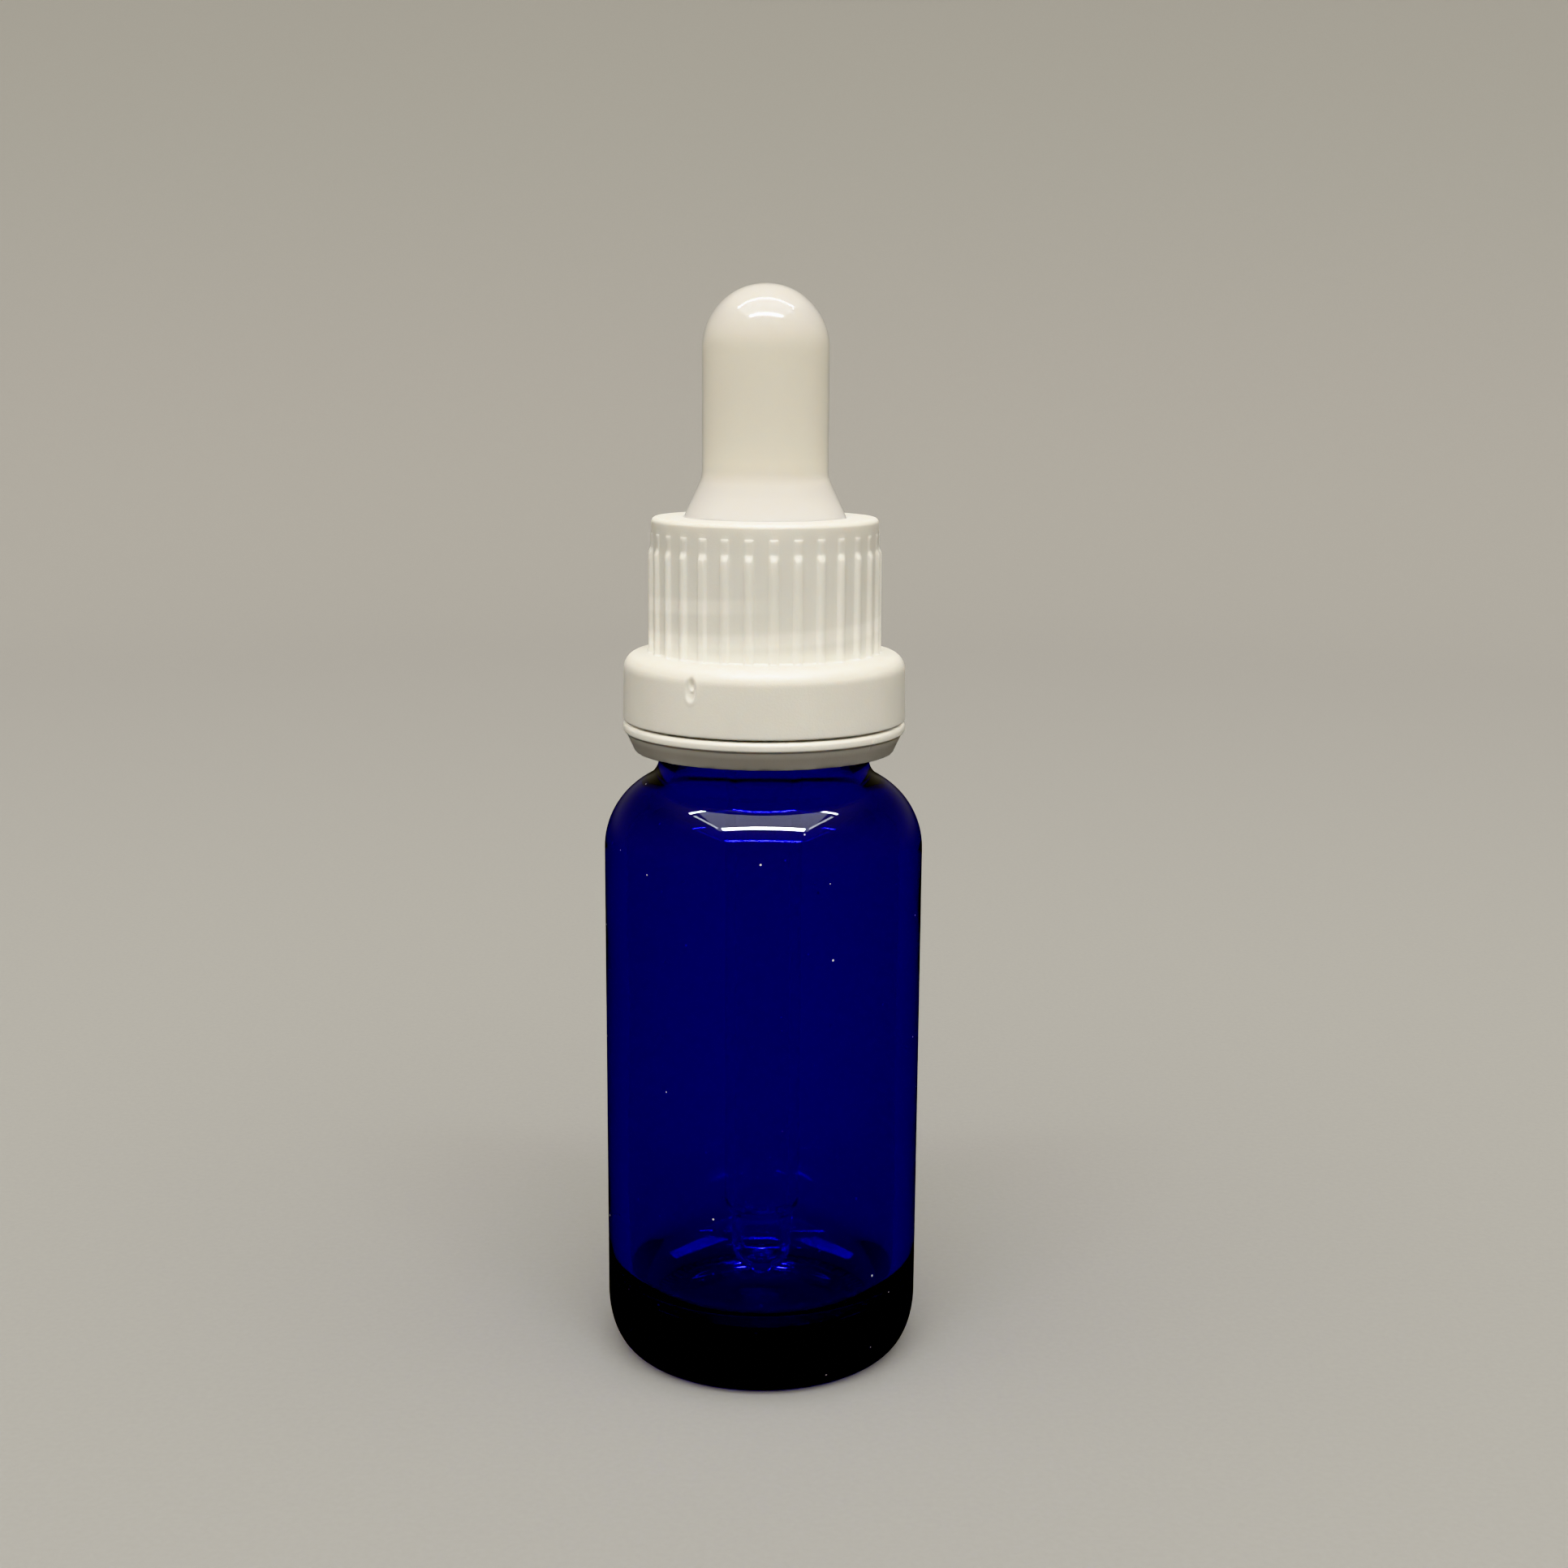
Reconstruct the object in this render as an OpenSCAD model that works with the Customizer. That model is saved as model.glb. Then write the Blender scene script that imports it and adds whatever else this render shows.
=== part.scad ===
// Dropper bottle: a cobalt glass bottle with a screw-on dropper closure.
// Millimetres, +Z up. The origin is the centre of the base, on the surface the bottle stands on.

/* [Glass bottle] */
// Outer diameter of the body
body_d = 28.8; // [28:0.1:30]
// Height of the glass, from the surface it stands on to the rim
glass_h = 73; // [70:0.5:90]
// Radius of the rounded shoulder
shoulder_r = 7.1; // [6.8:0.1:7.4]
// Radius of the hollow curve between the shoulder and the neck
neck_blend_r = 2.2; // [1.9:0.1:2.5]
// Thickness of the body's wall
glass_wall = 2; // [1.6:0.1:2.2]
// Thickness of the floor beside the inner corner
floor_t = 4.6; // [4.2:0.1:5]
// Height of the curve between the wall and the floor
floor_corner_h = 4.2; // [3.6:0.1:4.6]
// Width of the curve between the wall and the floor
floor_corner_w = 7; // [6:0.1:8]
// Height over which the heel rounds in
heel_h = 4.8; // [4:0.1:5.5]
// How far the heel rounds in
heel_w = 2.3; // [2:0.1:2.6]
// Depth of the hollow under the base
punt_h = 1.1; // [0.8:0.1:1.4]

/* [Neck finish] */
// Height of the neck, from the top of the shoulder's curve to the rim
neck_h = 17.5; // [17.3:0.1:17.7]
// Outer diameter of the plain neck under the bead
neck_d = 18.9; // [18.7:0.1:19.1]
// Diameter of the bead that holds the tamper band down
bead_d = 20.4; // [20.2:0.1:20.6]
// Diameter over the thread
thread_d = 17.7; // [17.5:0.1:17.8]
// Diameter at the root of the thread
thread_root_d = 15.9; // [15.7:0.1:16]
// Rise of the thread in one turn
thread_pitch = 3; // [2.9:0.05:3.1]
// Turns of thread on the neck and in the cap
thread_turns = 1.5; // [1.2:0.1:1.7]
// Diameter of the mouth
mouth_d = 11.8; // [11.6:0.1:12]

/* [Screw cap] */
// Height of the cap, without the tamper band
cap_h = 17.95; // [17.75:0.05:18.05]
// How far the top of the cap stands over the glass rim
cap_rise = 4; // [3.8:0.1:4.2]
// Diameter of the smooth wall between the grip ribs
cap_d = 20.1; // [20:0.1:20.3]
// Number of grip ribs
rib_n = 30; // [20:1:36]
// Width of a grip rib
rib_w = 0.9; // [0.7:0.05:1.1]
// How far a grip rib stands proud at its foot
rib_h = 0.36; // [0.25:0.01:0.45]
// Diameter of the collar at its lower edge
collar_d = 25.3; // [25:0.1:25.6]
// Height of the collar
collar_h = 6.05; // [5.8:0.05:6.2]
// Radius of the collar's rounded top edge
collar_round = 1.5; // [1:0.1:1.8]

/* [Tamper band] */
// Height of the band
band_h = 2.55; // [2.4:0.05:2.7]
// Gap between the collar and the band
band_gap = 0.2; // [0.15:0.05:0.3]
// Outer diameter of the band at its foot
band_foot_d = 23.3; // [23:0.1:23.6]
// Number of breakable bridges between the collar and the band
bridge_n = 10; // [6:1:16]
// Width of a bridge
bridge_w = 0.7; // [0.5:0.1:1]

/* [Dropper] */
// Diameter of the bulb
bulb_d = 11.1; // [10.9:0.1:11.5]
// Height of the bulb over the cap
bulb_h = 20.1; // [18:0.1:24]
// Thickness of the bulb's wall
bulb_wall = 1.3; // [1.2:0.05:1.4]
// Diameter of the bulb's foot where it comes out of the cap
bulb_foot_d = 14.3; // [14.1:0.1:14.5]
// Height of the cone above the foot
flare_h = 3.5; // [3.2:0.1:4]
// Outer diameter of the glass pipette
pipette_d = 7; // [6.8:0.1:7]
// Thickness of the pipette's wall
pipette_wall = 1; // [0.8:0.1:1.1]
// Diameter of the pipette's narrow nozzle
nozzle_d = 5.6; // [5.4:0.1:5.8]
// Length of the nozzle, with its round end
nozzle_h = 5.45; // [5:0.05:6]
// Diameter of the hole in the tip
orifice_d = 1.8; // [1.4:0.1:2]
// Height of the tip over the surface the bottle stands on
tip_z = 6.65; // [6.4:0.05:7]

/* [Hidden] */
$fn = 96;

// Glass: where the base, the shoulder and the neck lie
body_r = body_d / 2;
neck_r = neck_d / 2;
mouth_r = mouth_d / 2;
bore_r = body_r - glass_wall;
foot_r = body_r - heel_w;
foot_w = 1.4;
punt_edge_r = foot_r - foot_w;
punt_r = (punt_edge_r ^ 2 + punt_h ^ 2) / (2 * punt_h);
punt_a = asin(punt_edge_r / punt_r);
floor_crown = 0.4;
floor_corner = [bore_r - floor_corner_w, floor_t + floor_corner_h];
neck_z = glass_h - neck_h;

// The shoulder's arc and the neck's hollow curve share a tangent at shoulder_a
shoulder_cx = body_r - shoulder_r;
shoulder_dx = neck_r + neck_blend_r - shoulder_cx;
shoulder_dz = sqrt((shoulder_r + neck_blend_r) ^ 2 - shoulder_dx ^ 2);
shoulder_z = neck_z - shoulder_dz;
shoulder_a = atan2(shoulder_dz, shoulder_dx);

// The same pair of curves inside the glass, which is a little thicker in the shoulder than in the wall
inner_r_cut = 2.5;
inner_r = shoulder_r - inner_r_cut;
inner_cx = bore_r - inner_r;
inner_blend_r = 8;
neck_bore_r = 7.4;
inner_blend_x = neck_bore_r + inner_blend_r;
inner_dx = inner_blend_x - inner_cx;
inner_dz = sqrt((inner_r + inner_blend_r) ^ 2 - inner_dx ^ 2);
inner_a = atan2(inner_dz, inner_dx);
inner_blend_z = shoulder_z + inner_dz;

// The neck's bore narrows to the mouth between two heights
bore_low_z = neck_z + 2.5;
bore_top_z = neck_z + 7;

// Bead, thread and rim of the neck
bead_r = bead_d / 2;
bead_low_z = neck_z + 2.4;
bead_h = 2.4;
bead_slope = 0.5;
root_r = thread_root_d / 2;
crest_r = thread_d / 2;
thread_low_z = glass_h - 6.1;
// Angle at which the thread starts, on the neck and in the cap
thread_start_a = 108;
thread_foot_w = 1.5;
thread_crest_w = 0.8;
rim_round = 0.8;
// Steps in a turn of thread, steps over which an end fades, and the share left at the very end
thread_steps = 24;
thread_fade = 4;
thread_end = 0.2;
thread_root_sink = 0.15;

// Cap: heights of its top, lower edge, ribs and collar
cap_top_z = glass_h + cap_rise;
cap_low_z = cap_top_z - cap_h;
cap_r = cap_d / 2;
cap_rim_round = 0.45;
cap_wall = 0.85;
cap_top_t = 1.5;
cap_bore_r = cap_r - cap_wall;
collar_r = collar_d / 2;
collar_draft = 0.1;
collar_z = cap_low_z + collar_h;
collar_wall = 1.9;
collar_bore_z = collar_z - 1.8;
rib_top_z = cap_top_z - 1.3;
rib_step_z = rib_top_z - 1.3;
rib_full_z = rib_step_z - 0.6;
rib_low_part = 0.3;
rib_draft = 0.85;
// Angle from the front, at -Y, to the middle of the nearest rib
rib_turn = 4.3;
thread_bite = 0.6;
cap_thread_r = crest_r - thread_bite;
cap_thread_foot_w = 1.2;
cap_thread_crest_w = 0.6;
// Height of the cap's thread under the neck's thread, flank to flank with a little play
thread_drop = 1.12;

// Tamper band
band_top_z = cap_low_z - band_gap;
band_low_z = band_top_z - band_h;
band_lip_h = 0.85;
band_lip_round = 0.4;
band_wall = 1.9;
catch_r = neck_r + 0.45;
catch_low = 0.3;
catch_h = 0.9;
bridge_play = 0.04;
bridge_depth = 0.9;
bridge_inset = 0.25;

// Dropper: clearances and the heights of the bulb and the pipette
bulb_r = bulb_d / 2;
bulb_foot_r = bulb_foot_d / 2;
bulb_hole_play = 0.1;
bulb_hole_r = bulb_foot_r + bulb_hole_play;
bulb_top_z = cap_top_z + bulb_h;
seal_play = 0.1;
bulb_seat_z = glass_h + seal_play;
flange_top_z = cap_top_z - cap_top_t - seal_play;
side_play = 0.6;
flange_r = cap_bore_r - side_play;
sleeve_r = mouth_r - side_play;
sleeve_low_z = glass_h - 3.5;
flare_blend_r = 2.5;
flare_a = atan((bulb_foot_r - bulb_r) / flare_h);
cavity_r = bulb_r - bulb_wall;
cavity_low_z = cap_top_z + 2.9;
pipette_r = pipette_d / 2;
pipette_bore_r = pipette_r - pipette_wall;
pipette_play = 0.05;
head_play = 0.3;
head_r = cavity_r - head_play;
head_low_z = cavity_low_z + seal_play;
head_h = 1.2;
nozzle_r = nozzle_d / 2;
nozzle_wall = 0.85;
nozzle_bore_r = nozzle_r - nozzle_wall;
nozzle_slope = 1.2;
nozzle_bore_rise = 0.4;
orifice_r = orifice_d / 2;

// Points along an arc about c, from angle a0 to a1
function arc(c, r, a0, a1, n = 8) = oval(c, r, r, a0, a1, n);

// Points along an upright ellipse about c, from angle a0 to a1
function oval(c, rx, ry, a0, a1, n = 8) = [
    for (i = [0:n])
        let (a = a0 + (a1 - a0) * i / n)
        c + [rx * cos(a), ry * sin(a)]
];

// One ring of a thread: foot, crest, crest, foot, with the crest let down at both ends
function thread_ring(i, n, foot_r, crest_r, foot_w, crest_w) =
    let (
        fade = min(1, (i + thread_end) / thread_fade, (n - i + thread_end) / thread_fade),
        a = 360 * thread_turns * i / n,
        z = thread_pitch * thread_turns * i / n,
        top_r = foot_r + (crest_r - foot_r) * fade
    )
    [
        for (p = [[foot_r, -foot_w / 2], [top_r, -crest_w / 2], [top_r, crest_w / 2], [foot_r, foot_w / 2]])
            [p[0] * cos(a), p[0] * sin(a), z + p[1]]
    ];

// A right-hand thread that starts at z = 0 on +X; a crest inside the foot gives a thread in a bore
module thread(foot_r, crest_r, foot_w, crest_w) {
    n = round(thread_steps * thread_turns);
    inside = crest_r < foot_r;
    points = [
        for (i = [0:n])
            each thread_ring(i, n, foot_r, crest_r, foot_w, crest_w)
    ];
    sides = [
        for (i = [0:n - 1], k = [0:3])
            let (a = 4 * i + k, b = 4 * i + (k + 1) % 4)
            each [[a, b, a + 4], [b, b + 4, a + 4]]
    ];
    ends = [[3, 2, 1], [3, 1, 0], [4 * n, 4 * n + 1, 4 * n + 2], [4 * n, 4 * n + 2, 4 * n + 3]];
    faces = concat(sides, ends);
    polyhedron(points, inside ? [for (f = faces) [f[2], f[1], f[0]]] : faces);
}

// Blown bottle with a thick base, a rounded shoulder and a threaded neck
module glass_bottle() {
    outside = concat(
        arc([0, punt_h - punt_r], punt_r, 90, 90 - punt_a),
        oval([foot_r, heel_h], heel_w, heel_h, -90, 0, 10),
        arc([shoulder_cx, shoulder_z], shoulder_r, 0, shoulder_a, 12),
        arc([neck_r + neck_blend_r, neck_z], neck_blend_r, 180 + shoulder_a, 180, 6)
    );
    finish = concat(
        [
            [neck_r, bead_low_z],
            [bead_r, bead_low_z + bead_slope],
            [bead_r, bead_low_z + bead_h - bead_slope],
            [root_r, bead_low_z + bead_h]
        ],
        arc([root_r - rim_round, glass_h - rim_round], rim_round, 0, 90, 5),
        arc([mouth_r + rim_round, glass_h - rim_round], rim_round, 90, 180, 5)
    );
    inside = concat(
        [[mouth_r, bore_top_z], [neck_bore_r, bore_low_z]],
        arc([inner_blend_x, inner_blend_z], inner_blend_r, 180, 180 + inner_a, 8),
        arc([inner_cx, shoulder_z], inner_r, inner_a, 0, 10),
        oval(floor_corner, floor_corner_w, floor_corner_h, 0, -90, 10),
        [[0, floor_t + floor_crown]]
    );
    color([0.04, 0.03, 0.5, 0.6]) {
        rotate_extrude() polygon(concat(outside, finish, inside));
        translate([0, 0, thread_low_z]) rotate([0, 0, thread_start_a]) {
            thread(root_r - thread_root_sink, crest_r, thread_foot_w, thread_crest_w);
        }
    }
}

// Grip ribs, cut to a shape that stands proud in two steps
module grip_ribs() {
    intersection() {
        for (i = [0:rib_n - 1]) {
            rotate([0, 0, i * 360 / rib_n - 90 + rib_turn]) {
                translate([cap_r - cap_wall / 2, -rib_w / 2, collar_z - collar_round]) {
                    cube([cap_wall, rib_w, rib_top_z - collar_z + collar_round]);
                }
            }
        }
        rotate_extrude() polygon([
            [cap_bore_r, collar_z - collar_round],
            [cap_r + rib_h, collar_z - collar_round],
            [cap_r + rib_h * rib_draft, rib_full_z],
            [cap_r + rib_h * rib_low_part, rib_step_z],
            [cap_r + rib_h * rib_low_part, rib_top_z],
            [cap_bore_r, rib_top_z]
        ]);
    }
}

// Breakable bridges under the collar
module bridges() {
    for (i = [0:bridge_n - 1]) {
        rotate([0, 0, (i + 0.5) * 360 / bridge_n]) {
            translate([collar_r - bridge_inset - bridge_depth, -bridge_w / 2, band_top_z + bridge_play]) {
                cube([bridge_depth, bridge_w, band_gap]);
            }
        }
    }
}

// Screw cap with grip ribs, a collar and an inner thread
module screw_cap() {
    collar_top_r = collar_r - collar_draft;
    outside = concat(
        [[collar_r - collar_wall, cap_low_z], [collar_r, cap_low_z]],
        arc([collar_top_r - collar_round, collar_z - collar_round], collar_round, 0, 90, 8),
        [[cap_r, collar_z]],
        arc([cap_r - cap_rim_round, cap_top_z - cap_rim_round], cap_rim_round, 0, 90, 5)
    );
    inside = [
        [bulb_hole_r, cap_top_z],
        [bulb_hole_r, cap_top_z - cap_top_t],
        [cap_bore_r, cap_top_z - cap_top_t],
        [cap_bore_r, collar_bore_z],
        [collar_r - collar_wall, collar_bore_z]
    ];
    color([0.88, 0.86, 0.79]) {
        rotate_extrude() polygon(concat(outside, inside));
        grip_ribs();
        bridges();
        translate([0, 0, thread_low_z - thread_drop]) rotate([0, 0, thread_start_a]) {
            thread(cap_bore_r + thread_root_sink, cap_thread_r, cap_thread_foot_w, cap_thread_crest_w);
        }
    }
}

// Loose ring that stays on the neck when the bridges break, held under the bead by its catch
module tamper_band() {
    lip_z = band_top_z - band_lip_h;
    lip_cx = collar_r - band_lip_round;
    catch_z = band_low_z + catch_low;
    color([0.86, 0.84, 0.77]) {
        rotate_extrude() polygon(concat(
            [[catch_r + catch_low, band_low_z], [band_foot_d / 2, band_low_z]],
            arc([lip_cx, lip_z + band_lip_round], band_lip_round, -60, 0, 4),
            arc([lip_cx, band_top_z - band_lip_round], band_lip_round, 0, 90, 5),
            [
                [collar_r - band_wall, band_top_z],
                [collar_r - band_wall, catch_z + catch_h],
                [catch_r, catch_z + catch_h - catch_low],
                [catch_r, catch_z]
            ]
        ));
    }
}

// Soft bulb with a cone at its foot, a flange that seals on the rim, and a sleeve round the pipette
module dropper_bulb() {
    dome_z = bulb_top_z - bulb_r;
    flare_top_z = cap_top_z + flare_h + flare_blend_r * tan(flare_a / 2);
    grip_r = pipette_r + pipette_play;
    outside = concat(
        [
            [grip_r, sleeve_low_z],
            [sleeve_r, sleeve_low_z],
            [sleeve_r, bulb_seat_z],
            [flange_r, bulb_seat_z],
            [flange_r, flange_top_z],
            [bulb_foot_r, flange_top_z],
            [bulb_foot_r, cap_top_z]
        ],
        arc([bulb_r + flare_blend_r, flare_top_z], flare_blend_r, 180 + flare_a, 180, 5),
        arc([0, dome_z], bulb_r, 0, 90, 12)
    );
    inside = concat(
        arc([0, dome_z], cavity_r, 90, 0, 12),
        [[cavity_r, cavity_low_z], [grip_r, cavity_low_z]]
    );
    color([0.9, 0.89, 0.85, 0.9]) {
        rotate_extrude() polygon(concat(outside, inside));
    }
}

// Glass tube with a flared head held in the bulb and a narrow nozzle with a round end
module glass_pipette() {
    round_z = tip_z + sqrt(nozzle_r ^ 2 - orifice_r ^ 2);
    nozzle_z = tip_z + nozzle_h;
    tube_z = nozzle_z + nozzle_slope;
    head_z = head_low_z + head_h;
    outside = concat(
        arc([0, round_z], nozzle_r, -acos(orifice_r / nozzle_r), 0, 8),
        [
            [nozzle_r, nozzle_z],
            [pipette_r, tube_z],
            [pipette_r, head_low_z],
            [head_r, head_low_z],
            [head_r, head_z],
            [pipette_bore_r, head_z]
        ]
    );
    inside = concat(
        [[pipette_bore_r, tube_z + nozzle_bore_rise], [nozzle_bore_r, nozzle_z + nozzle_bore_rise]],
        arc([0, round_z + nozzle_bore_rise], nozzle_bore_r, 0, -acos(orifice_r / nozzle_bore_r), 6)
    );
    color([0.85, 0.9, 0.92, 0.4]) {
        rotate_extrude() polygon(concat(outside, inside));
    }
}

glass_bottle();
screw_cap();
tamper_band();
dropper_bulb();
glass_pipette();
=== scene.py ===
"""A cobalt glass dropper bottle on a pale sweep, in metres, in the frame of its solid model."""

import math

import bmesh
import bpy
from mathutils import Matrix, Vector


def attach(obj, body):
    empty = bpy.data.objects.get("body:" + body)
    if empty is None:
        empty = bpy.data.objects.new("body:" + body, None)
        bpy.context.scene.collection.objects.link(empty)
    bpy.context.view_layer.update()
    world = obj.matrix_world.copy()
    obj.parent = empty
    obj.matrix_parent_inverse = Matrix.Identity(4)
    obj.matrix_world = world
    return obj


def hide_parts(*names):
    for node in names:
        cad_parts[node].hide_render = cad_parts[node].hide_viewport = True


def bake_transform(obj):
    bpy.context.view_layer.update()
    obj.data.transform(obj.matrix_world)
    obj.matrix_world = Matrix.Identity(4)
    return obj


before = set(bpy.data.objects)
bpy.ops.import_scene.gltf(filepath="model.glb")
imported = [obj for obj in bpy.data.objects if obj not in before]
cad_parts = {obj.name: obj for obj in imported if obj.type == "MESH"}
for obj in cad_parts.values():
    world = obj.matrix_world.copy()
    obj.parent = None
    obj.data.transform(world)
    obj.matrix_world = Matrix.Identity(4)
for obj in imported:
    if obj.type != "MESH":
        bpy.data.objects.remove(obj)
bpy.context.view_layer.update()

MM = 0.001

# Sizes in millimetres and angles in degrees. The main sizes are those of the solid model. HEEL and
# FLOOR_CORNER are ellipses, as width and height. A shoulder is a round's centre (r, z), radius and last
# angle, and a blend is a round's centre and radius.
BODY_R = 14.4
BORE_R = 12.4
FOOT_R = 12.1
PUNT_R = 10.7
PUNT_H = 1.1
HEEL = (2.3, 4.8)
KNURL_COUNT = 72
KNURL_DEPTH = 0.16
SHOULDER = ((7.3, 47.280), 7.1, 62.11)
NECK_BLEND = ((11.65, 55.5), 2.2)
NECK_R = 9.45
NECK_LOW = 55.6
BEAD_R = 10.2
BEAD_LOW = 57.9
BEAD_TOP = 60.3
BEAD_SLOPE = 0.5
ROOT_R = 7.95
THREAD_LOW = 66.9
THREAD_START = 108.0
THREAD_PITCH = 3.0
THREAD_TURNS = 1.5
THREAD_FADE = 0.14
THREAD_RISE = 0.9
THREAD_FOOT = 1.4
THREAD_CREST = 0.6
RIM_Z = 73.0
RIM_ROUND = 0.8
MOUTH_R = 5.9
INNER_SHOULDER = ((7.8, 47.280), 4.6, 52.90)
INNER_BLEND = ((15.4, 57.330), 8.0)
NECK_BORE_R = 7.4
BORE_LOW = 58.0
BORE_TOP = 62.5
FLOOR_Z = 4.6
FLOOR_CROWN = 0.4
FLOOR_CORNER = (7.0, 4.2)
BORE_WAVE = 16
BORE_WAVE_DEPTH = 0.22
BORE_WAVE_FADE = 6

CAP_R = 10.05
CAP_BORE_R = 9.2
CAP_LOW = 59.05
CAP_TOP = 77.0
CAP_CEILING = 75.5
CAP_THREAD_DROP = 1.12
CAP_THREAD_FOOT = 1.1
CAP_THREAD_CREST = 0.5
CAP_THREAD_ROOM = (63.6, 75.0)
COLLAR_R = 12.65
COLLAR_TOP = 65.1
COLLAR_BORE_R = 10.75
COLLAR_BORE_TOP = 63.3
BULB_HOLE_R = 7.18
RIB_COUNT = 30
RIB_RISE = 0.36
RIB_WIDTH = 1.0
RIB_TURN = -85.7
RIB_TOP = 75.7
RIB_END = 0.16
RIB_FLAT = 74.5
RIB_SLOPE = 73.7
RIB_FLAT_SHARE = 0.2
RIB_SLOPE_SHARE = 0.88
# The cap's mesh has points this far from the middle of a rib: on both its sides, and in the groove.
RIB_FLANK = (0.26, 0.32, 0.37, 0.42, 0.46, 0.5, 0.78)
RIB_GROOVE = 1.05
GATE_TURN = -119.7
GATE_Z = 63.15
GATE_REACH = 3.2

BAND_TOP = 58.85
BAND_LOW = 56.3
BAND_FOOT_R = 11.65
BAND_STEP = 57.9
BAND_LIP_LOW = 58.1
CATCH_R = 9.9
CATCH_LOW = 56.6
CATCH_HIGH = 57.2
CATCH_TOP = 57.5
RAGGED_H = 0.25
RAGGED_DEPTH = 0.018
WELD_TURN = -42.0
WELD_REACH = 3
BRIDGE_COUNT = 10
BRIDGE_RING_R = 11.6
BRIDGE_FOOT_R = 0.42
BRIDGE_TIP_R = 0.28
BRIDGE_LENGTH = 0.26
BRIDGE_GAP = 0.04

BULB_R = 5.55
BULB_TOP = 97.1
BULB_FOOT_R = 7.13
BULB_FOOT_TOP = 77.1
FLARE_TOP = 81.06
FLARE_ANGLE = 24.57
FLARE_ROUND = 2.5
CAVITY_R = 4.25
CAVITY_LOW = 79.9
FLANGE_R = 8.6
FLANGE_LOW = 73.1
FLANGE_TOP = 75.4
SLEEVE_R = 5.3
SLEEVE_LOW = 69.5
GRIP_R = 3.55

TUBE_R = 3.5
TUBE_BORE_R = 2.5
NOZZLE_R = 2.8
NOZZLE_BORE_R = 1.95
NOZZLE_TOP = 12.1
TIP_ROUND_Z = 9.301
SHOULDER_TOP = 13.3
HEAD_R = 3.95
HEAD_LOW = 80.0
HEAD_TOP = 81.2
ORIFICE_R = 0.9
ORIFICE_EDGE = 0.12
TIP_WALL = 0.4

# The studio, in metres and degrees.
FLOOR_REACH = 0.5
SWEEP_R = 1.0
LAMP_HEIGHT = 1.27
PANEL_Y = -0.26
FRONT_STRIP_Y = -0.62
REAR_TUBES_Y = 0.16
SIDE_STRIP_X = 0.73
SIDE_STRIP_TURN = 13
REAR_SHORT_Y = 0.5
REAR_SIDE_X = 0.52
REAR_SIDE_Y = 0.88
REAR_SIDE_TURN = 18
CAMERA_PLACE = (0, -0.1835, 0.08852)
CAMERA_PITCH = 10.97
CAMERA_YAW = 0.57
CAMERA_ROLL = 0.38

# The photograph, in pixels: its width and the focal length that was fitted to it.
PHOTO_WIDTH = 1932
PHOTO_FOCAL = 2543


def spread(start, end, steps):
    """Evenly spaced numbers from start to end, both included."""
    return [start + (end - start) * i / steps for i in range(steps + 1)]


def arc(centre, radius, start, end, steps, radius_z=None):
    """Points (r, z) along a circle, or an upright ellipse, between two angles in degrees."""
    high = radius_z or radius
    turns = [math.radians(a) for a in spread(start, end, steps)]
    return [(centre[0] + radius * math.cos(a), centre[1] + high * math.sin(a)) for a in turns]


def straight(start, end, steps):
    """Points (r, z) along a line, both ends included."""
    return list(zip(spread(start[0], end[0], steps), spread(start[1], end[1], steps)))


def softened(corners, closed, steps=5):
    """An outline through corners, each given as (r, z, rounding, rows to the next corner)."""
    ends = []
    count = len(corners)
    for i, (r, z, rounding, _) in enumerate(corners):
        corner = Vector((r, z))
        if rounding == 0 or (not closed and i in (0, count - 1)):
            ends.append([corner])
            continue
        back = (Vector(corners[i - 1][:2]) - corner).normalized()
        on = (Vector(corners[(i + 1) % count][:2]) - corner).normalized()
        half = back.angle(on) / 2
        centre = corner + (back + on).normalized() * (rounding / math.sin(half))
        first = corner + back * (rounding / math.tan(half)) - centre
        swing = first.angle_signed(corner + on * (rounding / math.tan(half)) - centre)
        turns = [Matrix.Rotation(-a, 2) for a in spread(0, swing, steps)]
        ends.append([centre + turn @ first for turn in turns])
    outline = []
    for i, points in enumerate(ends):
        outline += [tuple(p) for p in points]
        if i + 1 < count or closed:
            outline += straight(points[-1], ends[(i + 1) % count][0], corners[i][3])[1:-1]
    return outline


def turned(name, outline, turns, shape=None, shares=None):
    """A closed solid of revolution.

    shape(r, z, turn) may move a point in or out. shares are weights by (r, z), kept on the mesh by name.
    """
    poles = outline[0][0] < 1e-6
    points, rings = [], []
    for r, z in outline:
        if r < 1e-6:
            rings.append([len(points)])
            points.append((0, 0, z * MM))
            continue
        rings.append(range(len(points), len(points) + len(turns)))
        for turn in turns:
            out = (r + (shape(r, z, turn) if shape else 0)) * MM
            points.append((out * math.cos(math.radians(turn)), out * math.sin(math.radians(turn)), z * MM))
    faces = []
    for a, b in zip(rings, rings[1:] if poles else [*rings[1:], rings[0]]):
        for i in range(len(turns)):
            j = (i + 1) % len(turns)
            if len(a) == 1:
                faces.append((a[0], b[j], b[i]))
            elif len(b) == 1:
                faces.append((a[i], a[j], b[0]))
            else:
                faces.append((a[i], a[j], b[j], b[i]))
    mesh = bpy.data.meshes.new(name)
    mesh.from_pydata(points, [], faces)
    for share, weight in (shares or {}).items():
        row_weights = [weight(r, z) for r, z in outline]
        values = [w for w, ring in zip(row_weights, rings) for _ in ring]
        mesh.attributes.new(share, "FLOAT", "POINT").data.foreach_set("value", values)
    face_outwards(mesh)
    piece = bpy.data.objects.new(name, mesh)
    bpy.context.scene.collection.objects.link(piece)
    return piece


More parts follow.
